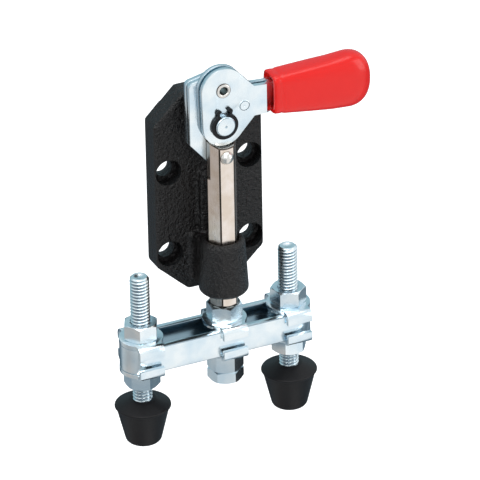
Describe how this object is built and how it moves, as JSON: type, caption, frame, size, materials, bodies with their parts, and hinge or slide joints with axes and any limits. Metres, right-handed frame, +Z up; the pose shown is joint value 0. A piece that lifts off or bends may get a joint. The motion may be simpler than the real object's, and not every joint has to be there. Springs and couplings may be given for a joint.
{
  "type": "push-pull toggle clamp",
  "caption": "Push-pull toggle clamp: cast flange base, lever handle with vinyl grip, hexagonal plunger and a T-bar with rubber-footed adjustable spindles.",
  "frame": {"origin": "centre of the four mounting holes, on the back (mounting) face of the flange", "axes": "+Z up along the plunger axis, with the pads facing -Z; +Y out of the back of the flange, into what carries it; +X to the side that the handle points to when the clamp is open"},
  "size_m": [0.1128, 0.0331, 0.1597],
  "materials": {
    "black_casting": "rough black paint on sand-cast iron",
    "zinc_steel": "bright blue-white zinc plate, fairly glossy",
    "nickel_steel": "satin nickel plate, drawn lengthwise",
    "black_oxide": "black oxide spring steel",
    "red_vinyl": "glossy dipped vinyl",
    "black_rubber": "satin moulded rubber"
  },
  "bodies": {
    "base": {"base_casting": "black_casting", "pivot_pin": "zinc_steel", "retaining_clip": "black_oxide"},
    "handle": {"handle_plate_front": "zinc_steel", "handle_plate_rear": "zinc_steel", "crank_rivet": "nickel_steel", "stop_rivet": "zinc_steel", "grip": "red_vinyl"},
    "link": {"link_plate_front": "zinc_steel", "link_plate_rear": "zinc_steel"},
    "plunger": {"plunger": "nickel_steel", "plunger_rivet": "nickel_steel", "centre_bolt": "zinc_steel", "bar_loop": "zinc_steel", "washer_upper_left": "zinc_steel", "washer_upper_centre": "zinc_steel", "washer_upper_right": "zinc_steel", "washer_lower_left": "zinc_steel", "washer_lower_centre": "zinc_steel", "washer_lower_right": "zinc_steel", "nut_upper_left": "zinc_steel", "nut_upper_centre": "zinc_steel", "nut_upper_right": "zinc_steel", "nut_lower_left": "zinc_steel", "nut_lower_centre": "zinc_steel", "nut_lower_right": "zinc_steel", "spindle_left": "zinc_steel", "spindle_right": "zinc_steel", "foot_left": "black_rubber", "foot_right": "black_rubber"}
  },
  "joints": [
    {"name": "handle_swing", "type": "hinge", "parent": "base", "child": "handle", "pos_m": [0, -0.02245, 0.0427], "axis": [0, -1, 0], "range_deg": [0, 180]},
    {"name": "link_swing", "type": "hinge", "parent": "handle", "child": "link", "pos_m": [0, -0.01702, 0.0577], "axis": [0, -1, 0], "range_deg": [-180, 0]},
    {"name": "plunger_slide", "type": "slide", "parent": "base", "child": "plunger", "axis": [0, 0, -1], "range_m": [0, 0.03]}
  ],
  "couplings": [
    {"joint": "link_swing", "follows": "handle_swing", "ratio": -1},
    {"joint": "plunger_slide", "follows": "handle_swing", "m_per_rad": 0.0095493}
  ]
}
